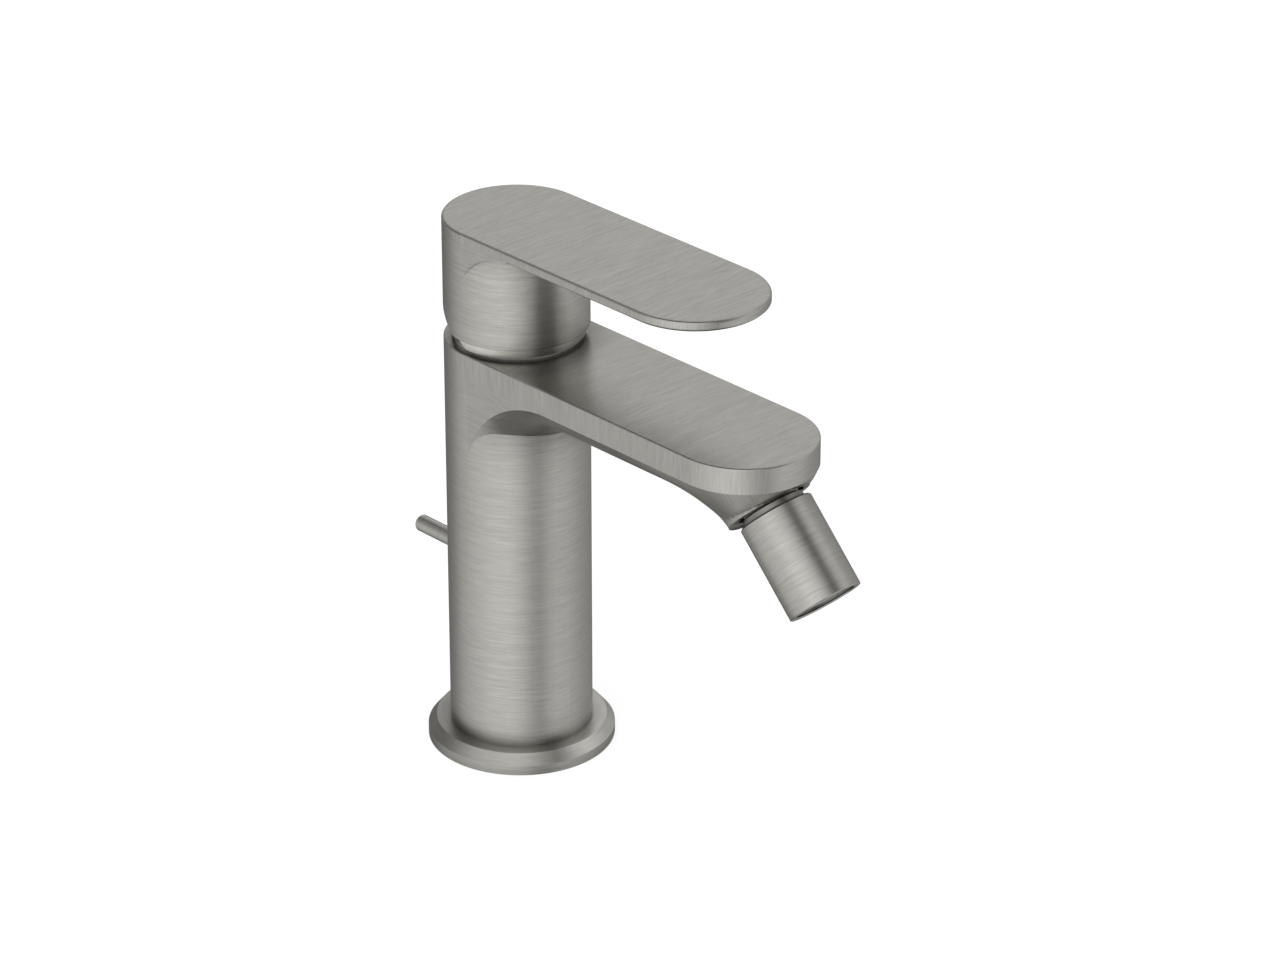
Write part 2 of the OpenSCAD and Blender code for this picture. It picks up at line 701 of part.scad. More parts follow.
module rod_head() {
  color([0.8, 0.66, 0.35]) difference() {
    translate([-rod_x, 0, head_z0]) cylinder(r = head_r, h = head_h);
    translate([-rod_x - 2 * head_r, 0, drain_pin_z]) rotate([0, 90, 0])
      cylinder(r = pin_tip_r, h = head_r - pin_gap + pin_tip_len);
  }
}

module lift_rod() {
  color([0.75, 0.75, 0.76]) translate([-rod_x, 0, rod_z0]) cylinder(r = rod_r, h = head_z0 - rod_z0);
}

module rod_guide_bush() {
  color([0.9, 0.9, 0.88]) translate([-rod_x, 0, spigot_z]) difference() {
    cylinder(r = bush_out_r, h = bush_len);
    translate([0, 0, -eps]) cylinder(r = rod_r + run_gap, h = bush_len + 2 * eps);
  }
}

module ball_seal() {
  color([0.1, 0.1, 0.1]) on_nozzle() rotate_extrude() polygon(concat(
    arc(0, 0, seal_out_r, seal_out_r, -90 + seal_from, -90 + seal_to, seal_steps),
    arc(0, 0, seal_in_r, seal_in_r, -90 + seal_to, -90 + seal_from, seal_steps)));
}

module snap_ring() {
  color([0.6, 0.6, 0.62]) on_nozzle() difference() {
    rotate_extrude() polygon([
      [ring_in_r0, ring_s0], [ring_out_r, ring_s0], [ring_out_r, ring_s1], [ring_in_r1, ring_s1]
    ]);
    translate([-ring_out_r - eps, -ring_split_w / 2, ring_s0 - eps])
      cube([ring_out_r, ring_split_w, ring_s1 - ring_s0 + 2 * eps]);
  }
}

module nozzle_ball() {
  flat_a = asin(collar_s0 / ball_r);
  back_a = -acos(ball_water_r / ball_r);
  color([0.75, 0.75, 0.76]) on_nozzle() rotate_extrude() polygon(concat(
    arc(0, 0, ball_r, ball_r, back_a, flat_a, ball_steps),
    [[neck_thread_r, collar_s0], [neck_thread_r, neck_s1], [ball_water_r, neck_s1]]));
}

module nozzle_sleeve() {
  color([0.62, 0.61, 0.58]) on_nozzle() rotate_extrude() polygon([
    [neck_thread_r, collar_s0], [collar_r, collar_s0], [collar_r, sleeve_s0],
    [nozzle_r - sleeve_edge, sleeve_s0], [nozzle_r, sleeve_s0 + sleeve_edge],
    [nozzle_r, sleeve_s1 - sleeve_low_edge], [nozzle_r - sleeve_low_edge, sleeve_s1],
    [aerator_bore_r + sleeve_low_edge, sleeve_s1], [aerator_bore_r, sleeve_s1 - sleeve_low_edge],
    [aerator_bore_r, aerator_s0], [sleeve_bore_r, aerator_s0],
    [sleeve_bore_r, neck_s1], [neck_thread_r, neck_s1]
  ]);
}

module aerator_housing() {
  top = aerator_s0 + aerator_seal_t;
  color([0.8, 0.8, 0.78]) on_nozzle() rotate_extrude() polygon([
    [aerator_throat_r, top], [aerator_bore_r - run_gap, top],
    [aerator_bore_r - run_gap, aerator_body_s1], [aerator_skirt_r, aerator_body_s1],
    [aerator_skirt_r, aerator_skirt_s1], [aerator_in_r, aerator_skirt_s1],
    [aerator_in_r, top + aerator_top_t], [aerator_throat_r, top + aerator_top_t]
  ]);
}

module aerator_grid() {
  n = floor(grid_reach / grid_pitch);
  color([0.55, 0.55, 0.54]) on_nozzle() difference() {
    translate([0, 0, grid_s1 - grid_t]) cylinder(r = aerator_in_r, h = grid_t);
    for (i = [-n : n]) for (j = [-n : n])
      if (norm([abs(i) + grid_corner, abs(j) + grid_corner]) * grid_pitch < aerator_in_r)
        translate([i * grid_pitch - grid_hole / 2, j * grid_pitch - grid_hole / 2, grid_s1 - 2 * grid_t])
          cube([grid_hole, grid_hole, 3 * grid_t]);
  }
}

module aerator_seal() {
  color([0.1, 0.1, 0.1]) on_nozzle() translate([0, 0, aerator_s0]) difference() {
    cylinder(r = aerator_bore_r - run_gap, h = aerator_seal_t);
    translate([0, 0, -eps]) cylinder(r = aerator_seal_in_r, h = aerator_seal_t + 2 * eps);
  }
}

body();
base_flange();
base_gasket();
cartridge_base();
port_seals();
lower_disc();
upper_disc();
disc_carrier();
cartridge_housing();
stem_turret();
pivot_pin();
lever_spindle();
cartridge_nut();
cover_ring();
lever_handle();
handle_screw();
drain_pin();
rod_head();
lift_rod();
rod_guide_bush();
ball_seal();
snap_ring();
nozzle_ball();
nozzle_sleeve();
aerator_housing();
aerator_grid();
aerator_seal();
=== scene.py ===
"""Bidet mixer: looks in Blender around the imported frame, in metres."""
import json
import math

import bpy
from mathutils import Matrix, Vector

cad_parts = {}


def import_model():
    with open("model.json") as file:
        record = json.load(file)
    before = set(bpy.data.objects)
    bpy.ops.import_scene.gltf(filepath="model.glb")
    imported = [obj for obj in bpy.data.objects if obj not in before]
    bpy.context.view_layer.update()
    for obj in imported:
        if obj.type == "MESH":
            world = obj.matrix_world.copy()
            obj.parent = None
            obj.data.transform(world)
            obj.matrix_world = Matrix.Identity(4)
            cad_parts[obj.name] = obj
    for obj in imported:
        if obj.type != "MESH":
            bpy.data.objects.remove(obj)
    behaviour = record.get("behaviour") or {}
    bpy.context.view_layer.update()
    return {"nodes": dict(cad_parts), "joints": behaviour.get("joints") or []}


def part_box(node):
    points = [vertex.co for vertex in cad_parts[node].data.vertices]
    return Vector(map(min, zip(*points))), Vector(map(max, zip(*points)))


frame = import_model()
NODES = frame["nodes"]
JOINTS = {joint["name"]: joint for joint in frame["joints"]}

MM = 0.001
FORWARD = (1, 0, 0)
SIDEWAYS = (0, 1, 0)
UPWARD = (0, 0, 1)

# places on the mixer, from the frame
SPOUT_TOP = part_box("body")[1].z
LEVER_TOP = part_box("lever_handle")[1].z
HUB_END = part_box("lever_handle")[0].z
NOZZLE_PIVOT = Vector(JOINTS["nozzle_pitch"]["pos_m"])
NOZZLE_AXIS = Vector(JOINTS["nozzle_pitch"]["axis"]).cross(Vector(JOINTS["nozzle_yaw"]["axis"]))
NOZZLE_END = max((vertex.co - NOZZLE_PIVOT).dot(NOZZLE_AXIS)
                 for vertex in NODES["nozzle_sleeve"].data.vertices)

# sizes that bound the painted light and shade
SPOUT_SIDE = 8.25 * MM
LEVER_SIDE = 3 * MM
HUB_BAND = 3 * MM
HUB_BAND_RADIUS = 21.4 * MM
REAR_START, REAR_END = -9 * MM, -3 * MM
SOCKET_RADIUS = 10.9 * MM
MOUTH_RADIUS = 9.7 * MM
AERATOR_FACE_RADIUS = 8.7 * MM

# brushed metal
NICKEL = (0.594, 0.583, 0.545)
GRAIN_WIDTH = 0.21 * MM
GRAIN_LENGTH = 7 * MM
PACKED = 1 / GRAIN_WIDTH
DRAWN = 1 / GRAIN_LENGTH
GRAIN_TONE = 0.17
# distance along the spout at which its own grain takes over from the column's
GRAIN_TURN = 24 * MM
ROUGHNESS = 0.3
ROUGHNESS_CHANGE = 0.03
# painted shade in gaps and inner corners: how far it reaches and how dark it gets
CORNER_REACH = 12 * MM
CORNER_SHADE = 0.6
# keeps the spread of reflections defined on faces square to the grain's axis
OFF_AXIS = (0.002, 0.003, 0.001)

# plain materials
CLOUD_SIZE = 1.5 * MM
CLOUD_TONE = 0.06
CLOUD_ROUGHNESS = 0.04

# the two inputs and the output of a Mix node for each kind of value
MIX_SOCKETS = {"VECTOR": (4, 5, 1), "RGBA": (6, 7, 2)}


class Tree:
    """Short calls for building a node tree. What goes through put may be a value or a socket."""

    def __init__(self, tree):
        self.tree = tree
        tree.nodes.clear()

    def add(self, kind, **settings):
        node = self.tree.nodes.new(kind)
        for key, value in settings.items():
            setattr(node, key, value)
        return node

    def put(self, socket, value):
        if isinstance(value, bpy.types.NodeSocket):
            self.tree.links.new(value, socket)
        else:
            socket.default_value = value

    def math(self, operation, a, b=0.0, clamp=False):
        node = self.add("ShaderNodeMath", operation=operation, use_clamp=clamp)
        self.put(node.inputs[0], a)
        self.put(node.inputs[1], b)
        return node.outputs[0]

    def product(self, first, *others):
        for other in others:
            first = self.math("MULTIPLY", first, other)
        return first

    def vector(self, operation, a, b=(0, 0, 0), scale=1.0):
        node = self.add("ShaderNodeVectorMath", operation=operation)
        self.put(node.inputs[0], a)
        if operation == "SCALE":
            self.put(node.inputs["Scale"], scale)
        else:
            self.put(node.inputs[1], b)
        return node.outputs["Value" if operation in ("DOT_PRODUCT", "LENGTH") else "Vector"]

    def parts(self, vector):
        """The three numbers of a vector."""
        split = self.add("ShaderNodeSeparateXYZ")
        self.put(split.inputs[0], vector)
        return split.outputs

    def map_range(self, value, a, b, c, d, smooth=False):
        """Takes a to c and b to d, and stays at c or d beyond them."""
        node = self.add("ShaderNodeMapRange")
        node.interpolation_type = "SMOOTHSTEP" if smooth else "LINEAR"
        self.put(node.inputs["Value"], value)
        for name, number in zip(("From Min", "From Max", "To Min", "To Max"), (a, b, c, d)):
            node.inputs[name].default_value = number
        return node.outputs["Result"]

    def rise(self, value, start, end, smooth=False):
        """0 up to the start, 1 from the end on."""
        return self.map_range(value, start, end, 0, 1, smooth)

    def fall(self, value, start, end, smooth=False):
        """1 up to the start, 0 from the end on."""
        return self.map_range(value, start, end, 1, 0, smooth)

    def factor(self, mask, level):
        """1 where the mask is 0, and the level where it is 1."""
        return self.map_range(mask, 0, 1, 1, level)

    def mix(self, kind, factor, a, b):
        """Mix of two vectors or two colours."""
        first, second, result = MIX_SOCKETS[kind]
        node = self.add("ShaderNodeMix", data_type=kind)
        self.put(node.inputs[0], factor)
        self.put(node.inputs[first], a)
        self.put(node.inputs[second], b)
        return node.outputs[result]

    def noise(self, vector, scale, detail, roughness):
        node = self.add("ShaderNodeTexNoise")
        self.put(node.inputs["Vector"], vector)
        node.inputs["Scale"].default_value = scale
        node.inputs["Detail"].default_value = detail
        node.inputs["Roughness"].default_value = roughness
        return node.outputs["Fac"]

    def object_place(self):
        """The place on the object, in its own metres."""
        return self.add("ShaderNodeTexCoord").outputs["Object"]

    def bump(self, height, strength, distance):
        node = self.add("ShaderNodeBump")
        node.inputs["Strength"].default_value = strength
        node.inputs["Distance"].default_value = distance
        self.put(node.inputs["Height"], height)
        return node.outputs["Normal"]

    def turned(self, vector, kind, source, target):
        """A direction taken from world to object space or back."""
        node = self.add("ShaderNodeVectorTransform", vector_type=kind,
                        convert_from=source, convert_to=target)
        self.put(node.inputs[0], vector)
        return node.outputs[0]

    def principled(self, **inputs):
        """Principled shader. An underscore stands for the space in an input's name."""
        shader = self.add("ShaderNodeBsdfPrincipled")
        for name, value in inputs.items():
            self.put(shader.inputs[name.replace("_", " ")], value)
        return shader

    def show(self, shader, output="ShaderNodeOutputMaterial"):
        self.put(self.add(output).inputs[0], shader.outputs[0])


def new_material(name):
    material = bpy.data.materials.new(name)
    material.use_nodes = True
    return material, Tree(material.node_tree)


# runs of the grain, each with the stretched place for the noise and the line that reflections spread along
def around(axis):
    """Grain that runs around an axis: packed along it, drawn out across it."""
    def run(t, place, normal):
        along = t.vector("DOT_PRODUCT", place, axis)
        packed = t.vector("SCALE", axis, scale=t.math("MULTIPLY", along, PACKED - DRAWN))
        drawn = t.vector("SCALE", place, scale=DRAWN)
        line = t.vector("ADD", t.vector("CROSS_PRODUCT", axis, normal), OFF_AXIS)
        return t.vector("ADD", packed, drawn), t.vector("CROSS_PRODUCT", normal, line)
    return run


def lathed(t, place, normal):
    """Rings on a turned part, on its rim and its flat top alike."""
    ring = t.math("MULTIPLY", t.math("SUBTRACT", t.parts(place)[2], off_column_axis(t, place)), PACKED)
    packed = t.vector("SCALE", UPWARD, scale=ring)
    line = t.vector("CROSS_PRODUCT", UPWARD, place)
    return (t.vector("ADD", packed, t.vector("SCALE", place, scale=DRAWN)),
            t.vector("CROSS_PRODUCT", normal, line))


def straight(line, spread):
    """Grain that runs along one line: packed on the two axes across it."""
    def run(t, place, normal):
        scale = tuple(DRAWN if part else PACKED for part in line)
        return t.vector("MULTIPLY", place, scale), spread
    return run


# distances
def off_column_axis(t, place):
    """Distance from the column's axis."""
    return t.vector("LENGTH", t.vector("MULTIPLY", place, (1, 1, 0)))


def off_nozzle_axis(t, place):
    """Distance from the nozzle's axis."""
    from_pivot = t.vector("SUBTRACT", place, NOZZLE_PIVOT)
    return t.vector("LENGTH", t.vector("CROSS_PRODUCT", from_pivot, NOZZLE_AXIS))


# masks that choose the run of the grain
def facing_up(t, place, normal):
    """1 where the surface faces up."""
    return t.rise(t.parts(normal)[2], 0.6, 0.8)


def facing_out(t, place, normal):
    """1 where the surface faces along the spout."""
    return t.rise(t.parts(normal)[0], 0.9, 0.95)


def above(level):
    """1 above a height."""
    def mask(t, place, normal):
        return t.rise(t.parts(place)[2], level - 0.05 * MM, level + 0.05 * MM)
    return mask


def beyond(distance):
    """1 further out along the spout than a distance."""
    def mask(t, place, normal):
        return t.rise(t.parts(place)[0], distance, distance + 4 * MM)
    return mask


# light and shade painted by place
def corner_shade(t):
    """Darkens gaps and inner corners, where little light gets in."""
    node = t.add("ShaderNodeAmbientOcclusion", samples=8)
    node.inputs["Distance"].default_value = CORNER_REACH
    return t.map_range(node.outputs["AO"], 0.3, 0.95, 1 - CORNER_SHADE, 1)


def shaded_below(t, normal, strength):
    """Darkens the surfaces that face down."""
    return t.map_range(t.parts(normal)[2], -0.45, -0.1, 1 - strength, 1)


def under_hub(t, place):
    """1 on the spout's top face in the gap under the hub, but 0 at the rear."""
    x, _, z = t.parts(place)
    inside = t.fall(off_column_axis(t, place), HUB_BAND_RADIUS - 0.1 * MM, HUB_BAND_RADIUS + 0.3 * MM)
    on_top = t.rise(z, SPOUT_TOP - 0.4 * MM, SPOUT_TOP - 0.1 * MM)
    return t.product(inside, on_top, t.rise(x, REAR_START, REAR_END))


def in_socket(t, place):
    """1 in the socket around the nozzle, below the spout's side faces."""
    near = t.fall(off_nozzle_axis(t, place), SOCKET_RADIUS, SOCKET_RADIUS + 0.1 * MM)
    side_end = SPOUT_TOP - SPOUT_SIDE
    return t.product(near, t.fall(t.parts(place)[2], side_end - 1.65 * MM, side_end - 0.65 * MM))


def body_painted_light_and_shade(t, place, normal):
    """Painted light in the gap under the hub, painted shade in the nozzle's socket, and painted shade
    under the spout beside the column."""
    x, _, z = t.parts(place)
    far = t.rise(x, 50 * MM, 85 * MM)
    near = t.fall(x, 6 * MM, 22 * MM, smooth=True)
    # painted shade on faces that face down under the spout, fading out at the column and towards the
    # spout's end
    belly_painted_shade = t.math("MAXIMUM", shaded_below(t, normal, strength=0.5), t.math("MAXIMUM", near, far))
    # painted shade on the column's front, under the spout
    front = t.rise(t.parts(normal)[0], -0.1, 0.9, smooth=True)
    under_spout = t.rise(z, 98 * MM, 121 * MM, smooth=True)
    column = t.math("MAXIMUM", t.factor(t.product(front, under_spout), level=0.68), far)
    # painted light on the spout's top face in the gap under the hub
    gap = t.factor(under_hub(t, place), level=1.7)
    # painted shade in the nozzle's socket
    socket = t.factor(in_socket(t, place), level=0.25)
    return t.product(gap, socket, t.product(belly_painted_shade, column))


def hub_band_painted_light_and_shade(t, place):
    """Painted shadow as a fine dark line over the band at the hub's lower end, and painted light on the
    band, more at its top.
    """
    x, _, z = t.parts(place)
    band_top = HUB_END + HUB_BAND
    above_line = t.rise(z, band_top, band_top + 0.4 * MM)
    under_line = t.fall(z, band_top - 0.55 * MM, band_top - 0.3 * MM)
    # painted shadow: the fine dark line
    line = t.map_range(t.math("MAXIMUM", above_line, under_line), 0, 1, 0.6, 0)
    # painted light on the band, more at its top and fading out towards the rear
    painted_light_gain = t.map_range(z, HUB_END + 0.1 * MM, HUB_END + 2.1 * MM, 0.2, 0.75)
    painted_light_gain = t.product(painted_light_gain, t.rise(x, -15 * MM, -4 * MM))
    band = t.product(t.math("ADD", painted_light_gain, 1), under_line)
    return t.math("ADD", t.math("ADD", above_line, band), line)


def lever_painted_light_and_shade(t, place, normal):
    """Painted light and shade: the band at the hub's lower end, less light below the plate, and the dark
    lower edge of its end.
    """
    x, y, z = t.parts(place)
    # painted shade on the lower edge of the plate's end, on both sides
    at_end = t.product(t.rise(x, 68 * MM, 80 * MM), t.rise(t.math("ABSOLUTE", y), 3 * MM, 9 * MM))
    low_edge_painted_shade = t.product(at_end, t.map_range(z, LEVER_TOP - 2.7 * MM, LEVER_TOP - 2.2 * MM, 0.75, 0))
    # painted shade on the faces that face down
    below = shaded_below(t, normal, strength=0.4)
    return t.product(hub_band_painted_light_and_shade(t, place), below, t.math("SUBTRACT", 1, low_edge_painted_shade))


def nozzle_painted_light_and_shade(t, place, normal):
    """Painted light and shade in the mouth that holds the aerator: a light rim, a dark ring behind it, and
    light again further in.
    """
    along = t.vector("DOT_PRODUCT", t.vector("SUBTRACT", place, NOZZLE_PIVOT), NOZZLE_AXIS)
    mouth = t.fall(off_nozzle_axis(t, place), MOUTH_RADIUS, MOUTH_RADIUS + 0.1 * MM)
    # painted shade as a dark ring behind the rim, and painted light further in
    inner = t.map_range(along, NOZZLE_END - 0.8 * MM, NOZZLE_END - 0.7 * MM, 1.3, 0.3)
    # painted highlight on the rim
    rim = t.map_range(along, NOZZLE_END - 0.3 * MM, NOZZLE_END - 0.2 * MM, 0, 1.3)
    return t.math("ADD", t.product(mouth, t.math("ADD", inner, rim)), t.math("SUBTRACT", 1, mouth))


def flange_painted_light_and_shade(t, place, normal):
    """Painted light and shade: lighter towards the spout's side on the slope and the top, darker away from
    it.
    """
    painted_light_side = (0.866, 0.5, 0)
    side = t.math("DIVIDE", t.vector("DOT_PRODUCT", place, painted_light_side), off_column_axis(t, place))
    # painted light towards that side and painted shade away from it, on the slope and the top
    change = t.map_range(side, -0.7, 0.8, -0.3, 0.3)
    slope_or_top = t.rise(t.parts(normal)[2], 0.1, 0.4)
    return t.math("ADD", t.product(change, slope_or_top), 1.12)


def brushed(name, regions, contrast=1.0, painted_light_and_shade_factor=None):
    """Brushed metal. regions lists (mask, run of the grain), the first for all that no later mask takes,
    and the last argument is a further factor on the tone that paints light and shade by place."""
    material, t = new_material(name)
    place = t.object_place()
    normal = t.turned(t.add("ShaderNodeNewGeometry").outputs["Normal"], "NORMAL", "WORLD", "OBJECT")
    stretched, spread = regions[0][1](t, place, normal)
    for mask, run in regions[1:]:
        taken = mask(t, place, normal)
        other, line = run(t, place, normal)
        stretched = t.mix("VECTOR", taken, stretched, other)
        spread = t.mix("VECTOR", taken, spread, line)
    fine = t.noise(stretched, scale=1.0, detail=3.0, roughness=0.6)
    broad = t.noise(stretched, scale=0.22, detail=2.0, roughness=0.5)
    grain = t.math("ADD", t.math("MULTIPLY", fine, 0.75), t.math("MULTIPLY", broad, 0.25))
    change = GRAIN_TONE * contrast
    # the grain's tone, times painted shade in gaps and inner corners
    tone = t.product(t.map_range(grain, 0.3, 0.7, 1 - change, 1 + change), corner_shade(t))
    # painted light and shade by place
    if painted_light_and_shade_factor:
        tone = t.product(tone, painted_light_and_shade_factor(t, place, normal))
    t.show(t.principled(
        Base_Color=t.vector("SCALE", NICKEL, scale=tone),
        Metallic=1.0,
        Roughness=t.map_range(grain, 0.3, 0.7, ROUGHNESS + ROUGHNESS_CHANGE, ROUGHNESS - ROUGHNESS_CHANGE),
        Anisotropic=0.8,
        Tangent=t.vector("NORMALIZE", t.turned(spread, "VECTOR", "OBJECT", "WORLD")),
        Normal=t.bump(grain, strength=0.2 * contrast, distance=0.01 * MM)))
    return material


def plain(name, color, roughness, metallic=0.0):
    """Material with a soft change of tone and roughness."""
    material, t = new_material(name)
    cloud = t.noise(t.object_place(), scale=1 / CLOUD_SIZE, detail=3.0, roughness=0.55)
    dark = tuple(part * (1 - CLOUD_TONE) for part in color) + (1,)
    light = tuple(part * (1 + CLOUD_TONE) for part in color) + (1,)
    t.show(t.principled(
        Base_Color=t.mix("RGBA", cloud, dark, light),
        Roughness=t.map_range(cloud, 0.3, 0.7, roughness - CLOUD_ROUGHNESS, roughness + CLOUD_ROUGHNESS),
        Metallic=metallic,
        Normal=t.bump(cloud, strength=0.15, distance=0.02 * MM)))
    return material


def plastic_with_painted_shade(name, low_color, high_color, mask, roughness):
    """Matte plastic whose colour changes where the mask does, to paint shade where the mask is 1."""
    material, t = new_material(name)
    place = t.object_place()
    cloud = t.noise(place, scale=1 / MM, detail=3.0, roughness=0.55)
    color = t.mix("RGBA", mask(t, place), low_color + (1,), high_color + (1,))
    color = t.vector("SCALE", color, scale=t.map_range(cloud, 0.3, 0.7, 0.93, 1.07))
    t.show(t.principled(Base_Color=color, Roughness=roughness))
    return material


def painted_shade_on_cover(t, place):
    """1 where the cover is painted near black as shade: above the gap under the hub, and at its rear."""
    x, _, z = t.parts(place)
    high = t.rise(z, HUB_END, HUB_END + 0.4 * MM)
    return t.math("MAXIMUM", high, t.fall(x, REAR_START, REAR_END))


def painted_shade_ring(t, place):
    """1 on the outer ring of the aerator's face, which gets painted shade."""
    return t.rise(off_nozzle_axis(t, place), AERATOR_FACE_RADIUS, AERATOR_FACE_RADIUS + 0.1 * MM)


# materials
# near black, painted as shade
PAINTED_SHADE_BLACK = (0.02, 0.02, 0.02)
GRID_WHITE = (0.75, 0.75, 0.73)
brushed_body = brushed("brushed_nickel_body", [
    (None, around(UPWARD)),
    (beyond(GRAIN_TURN), around(FORWARD)),
    (above(SPOUT_TOP - SPOUT_SIDE), straight(UPWARD, UPWARD)),
    (facing_out, around(UPWARD)),
    (facing_up, straight(SIDEWAYS, FORWARD))], painted_light_and_shade_factor=body_painted_light_and_shade)
brushed_lever = brushed("brushed_nickel_lever", [
    (None, around(UPWARD)),
    (above(LEVER_TOP - LEVER_SIDE), straight(UPWARD, UPWARD)),
    (facing_out, around(UPWARD)),
    (facing_up, straight(SIDEWAYS, FORWARD))], contrast=1.2, painted_light_and_shade_factor=lever_painted_light_and_shade)
brushed_round = brushed("brushed_nickel_round", [(None, lathed)], painted_light_and_shade_factor=flange_painted_light_and_shade)
brushed_nozzle = brushed("brushed_nickel_nozzle", [(None, around(NOZZLE_AXIS))], painted_light_and_shade_factor=nozzle_painted_light_and_shade)
brushed_pin = brushed("brushed_nickel_pin", [(None, around(FORWARD))])
rubber = plain("seal_rubber", (0.03, 0.03, 0.03), 0.6)
light_plastic = plain("cartridge_plastic", (0.72, 0.72, 0.7), 0.4)
dark_plastic = plain("carrier_plastic", (0.12, 0.12, 0.13), 0.4)
ceramic = plain("ceramic", (0.86, 0.85, 0.82), 0.15)
steel = plain("plain_steel", (0.5, 0.5, 0.5), 0.3, metallic=1.0)
dark_steel = plain("spring_steel", (0.12, 0.12, 0.12), 0.4, metallic=1.0)
brass = plain("plain_brass", (0.66, 0.52, 0.25), 0.3, metallic=1.0)
grid_plastic = plain("grid_plastic", GRID_WHITE, 0.4)
ball_metal = plain("ball_metal", (0.36, 0.35, 0.33), 0.4, metallic=1.0)
# the cover: grey below the hub's end, painted lighter for the light in the gap, and near black above it
# and at its rear as painted shade
cover_plastic = plastic_with_painted_shade("cover_plastic", (0.4, 0.39, 0.37), PAINTED_SHADE_BLACK, painted_shade_on_cover, 0.5)
# the aerator: white face, with near black painted shade on its outer ring
aerator_plastic = plastic_with_painted_shade("aerator_plastic", GRID_WHITE, PAINTED_SHADE_BLACK, painted_shade_ring, 0.35)

LOOKS = {
    "body": brushed_body,
    "lever_handle": brushed_lever,
    "base_flange": brushed_round,
    "nozzle_sleeve": brushed_nozzle,
    "drain_pin": brushed_pin,
    "cover_ring": cover_plastic,
    "nozzle_ball": ball_metal,
    "base_gasket": rubber,
    "port_seals": rubber,
    "ball_seal": rubber,
    "aerator_seal": rubber,
    "cartridge_base": light_plastic,
    "cartridge_housing": light_plastic,
    "disc_carrier": dark_plastic,
    "stem_turret": dark_plastic,
    "lower_disc": ceramic,
    "upper_disc": ceramic,
    "pivot_pin": steel,
    "handle_screw": steel,
    "snap_ring": dark_steel,
    "lift_rod": steel,
    "lever_spindle": brass,
    "cartridge_nut": brass,
    "rod_head": brass,
    "rod_guide_bush": light_plastic,
    "aerator_housing": aerator_plastic,
    "aerator_grid": grid_plastic,
}
for node_name, look in LOOKS.items():
    slots = NODES[node_name].data.materials
    slots.clear()
    slots.append(look)


def floor():
    """Plane that looks white to the camera and isn't mirrored in the metal."""
    reach = 6.0
    below_gasket = -0.1 * MM
    corners = [(-reach, -reach), (reach, -reach), (reach, reach), (-reach, reach)]
    mesh = bpy.data.meshes.new("floor")
    mesh.from_pydata([(x, y, below_gasket) for x, y in corners], [], [(0, 1, 2, 3)])
    plane = bpy.data.objects.new("floor", mesh)
    bpy.context.scene.collection.objects.link(plane)
    material, t = new_material("floor")
    diffuse = t.add("ShaderNodeBsdfDiffuse")
    diffuse.inputs["Color"].default_value = (0.3, 0.3, 0.3, 1)
    camera_ray = t.add("ShaderNodeLightPath").outputs["Is Camera Ray"]
    glow = t.add("ShaderNodeEmission")
    t.put(glow.inputs["Strength"], t.math("MULTIPLY", camera_ray, 0.8))
    total = t.add("ShaderNodeAddShader")
    t.put(total.inputs[0], diffuse.outputs[0])
    t.put(total.inputs[1], glow.outputs[0])
    t.show(total)
    mesh.materials.append(material)
    plane.visible_glossy = False


# brightness of the studio around the object: (degrees from the camera's side, level), for three heights
VIEW_SIDE = math.radians(-43.64)
WHITE = (1, 1, 1, 1)
PALE_GREY = (0.8, 0.8, 0.8, 1)
LOW_BANDS = [
    (-180, .16), (-150, .175), (-125, .305), (-102, .54), (-75, .68), (-55, .77), (-40, .82), (-15, .84),
    (5, .68), (20, .50), (34, .43), (48, .59), (62, .665), (85, .58), (115, .41), (145, .31), (180, .16)]
MID_BANDS = [
    (-180, .65), (-160, .45), (-135, .17), (-112, .18), (-95, .28), (-78, .55), (-60, .86), (-45, .98),
    (-15, 1.0), (4, .90), (18, .66), (32, .26), (45, .07), (60, .07), (76, .42), (94, .62), (112, .48),
    (130, .36), (152, .48), (180, .65)]
HIGH_BANDS = [
    (-180, .60), (-130, .20), (-100, .30), (-66, .45), (-47, .60), (-25, .70), (-5, .70), (10, .62),
    (22, .48), (36, .31), (48, .22), (60, .31), (76, .56), (94, .65), (130, .48), (180, .60)]


def bands(t, turn, stops):
    """Soft light and dark bands around the object."""
    ramp = t.add("ShaderNodeValToRGB")
    ramp.color_ramp.interpolation = "LINEAR"
    while len(ramp.color_ramp.elements) < len(stops):
        ramp.color_ramp.elements.new(0.5)
    for element, (angle, level) in zip(ramp.color_ramp.elements, stops):
        element.position = (angle + 180) / 360
        element.color = (level, level, level, 1)
    t.put(ramp.inputs[0], turn)
    return ramp.outputs[0]


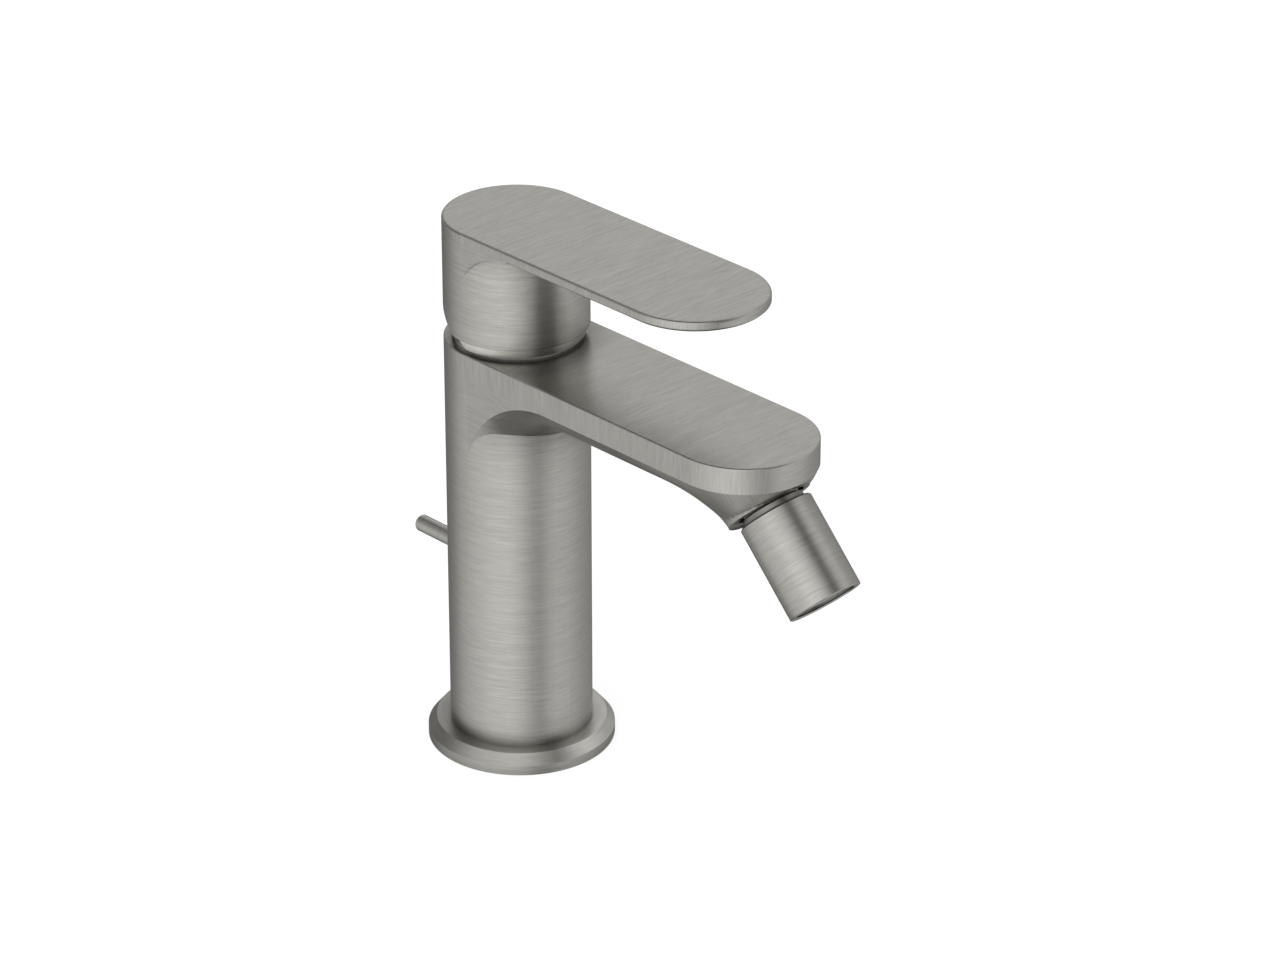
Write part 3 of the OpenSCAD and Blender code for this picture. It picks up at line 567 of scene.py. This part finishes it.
def world():
    """White for the camera, pale grey as light. Reflections see the bands, darker overhead and
    underfoot."""
    studio = bpy.data.worlds.new("studio")
    bpy.context.scene.world = studio
    studio.use_nodes = True
    t = Tree(studio.node_tree)
    x, y, z = t.parts(t.add("ShaderNodeTexCoord").outputs["Generated"])
    around_object = t.math("SUBTRACT", t.math("ARCTAN2", y, x), VIEW_SIDE)
    turn = t.math("FRACT", t.math("ADD", t.math("DIVIDE", around_object, 2 * math.pi), 0.5))
    middle = t.rise(z, -0.1, 0.3, smooth=True)
    high = t.rise(z, 0.45, 0.75, smooth=True)
    mirrored = t.mix("RGBA", middle, bands(t, turn, LOW_BANDS), bands(t, turn, MID_BANDS))
    mirrored = t.mix("RGBA", high, mirrored, bands(t, turn, HIGH_BANDS))
    overhead = t.map_range(z, 0.78, 0.95, 1, 0.3, smooth=True)
    underfoot = t.map_range(z, -0.97, -0.6, 0.65, 1, smooth=True)
    mirrored = t.vector("SCALE", mirrored, scale=t.product(overhead, underfoot))
    path = t.add("ShaderNodeLightPath").outputs
    seen = t.math("ADD", path["Is Camera Ray"], path["Is Transmission Ray"], clamp=True)
    color = t.mix("RGBA", path["Is Glossy Ray"], PALE_GREY, mirrored)
    background = t.add("ShaderNodeBackground")
    t.put(background.inputs["Color"], t.mix("RGBA", seen, color, WHITE))
    t.show(background, "ShaderNodeOutputWorld")


def top_light():
    """Broad lamp overhead that metal doesn't mirror."""
    light = bpy.data.lights.new("top", "AREA")
    light.shape = "DISK"
    light.size = 0.9
    light.energy = 3
    lamp = bpy.data.objects.new("top", light)
    lamp.location = (0.3, -0.5, 1.2)
    target = Vector((0.03, 0, 0.08))
    lamp.rotation_euler = (target - lamp.location).to_track_quat("-Z", "Y").to_euler()
    lamp.visible_glossy = False
    bpy.context.scene.collection.objects.link(lamp)


def camera():
    """The photo's view, solved from its straight edges."""
    data = bpy.data.cameras.new("camera")
    data.lens = 137.30
    data.sensor_width = 36
    data.clip_start, data.clip_end = 0.01, 50
    cam = bpy.data.objects.new("camera", data)
    back = Vector((0.647187, -0.616408, 0.448542)).normalized()
    cam.location = (1.005266, -0.905621, 0.767241)
    cam.rotation_mode = "QUATERNION"
    cam.rotation_quaternion = (-back).to_track_quat("-Z", "Y")
    bpy.context.scene.collection.objects.link(cam)
    bpy.context.scene.camera = cam


floor()
world()
top_light()
camera()
bpy.context.scene.view_settings.view_transform = "Standard"
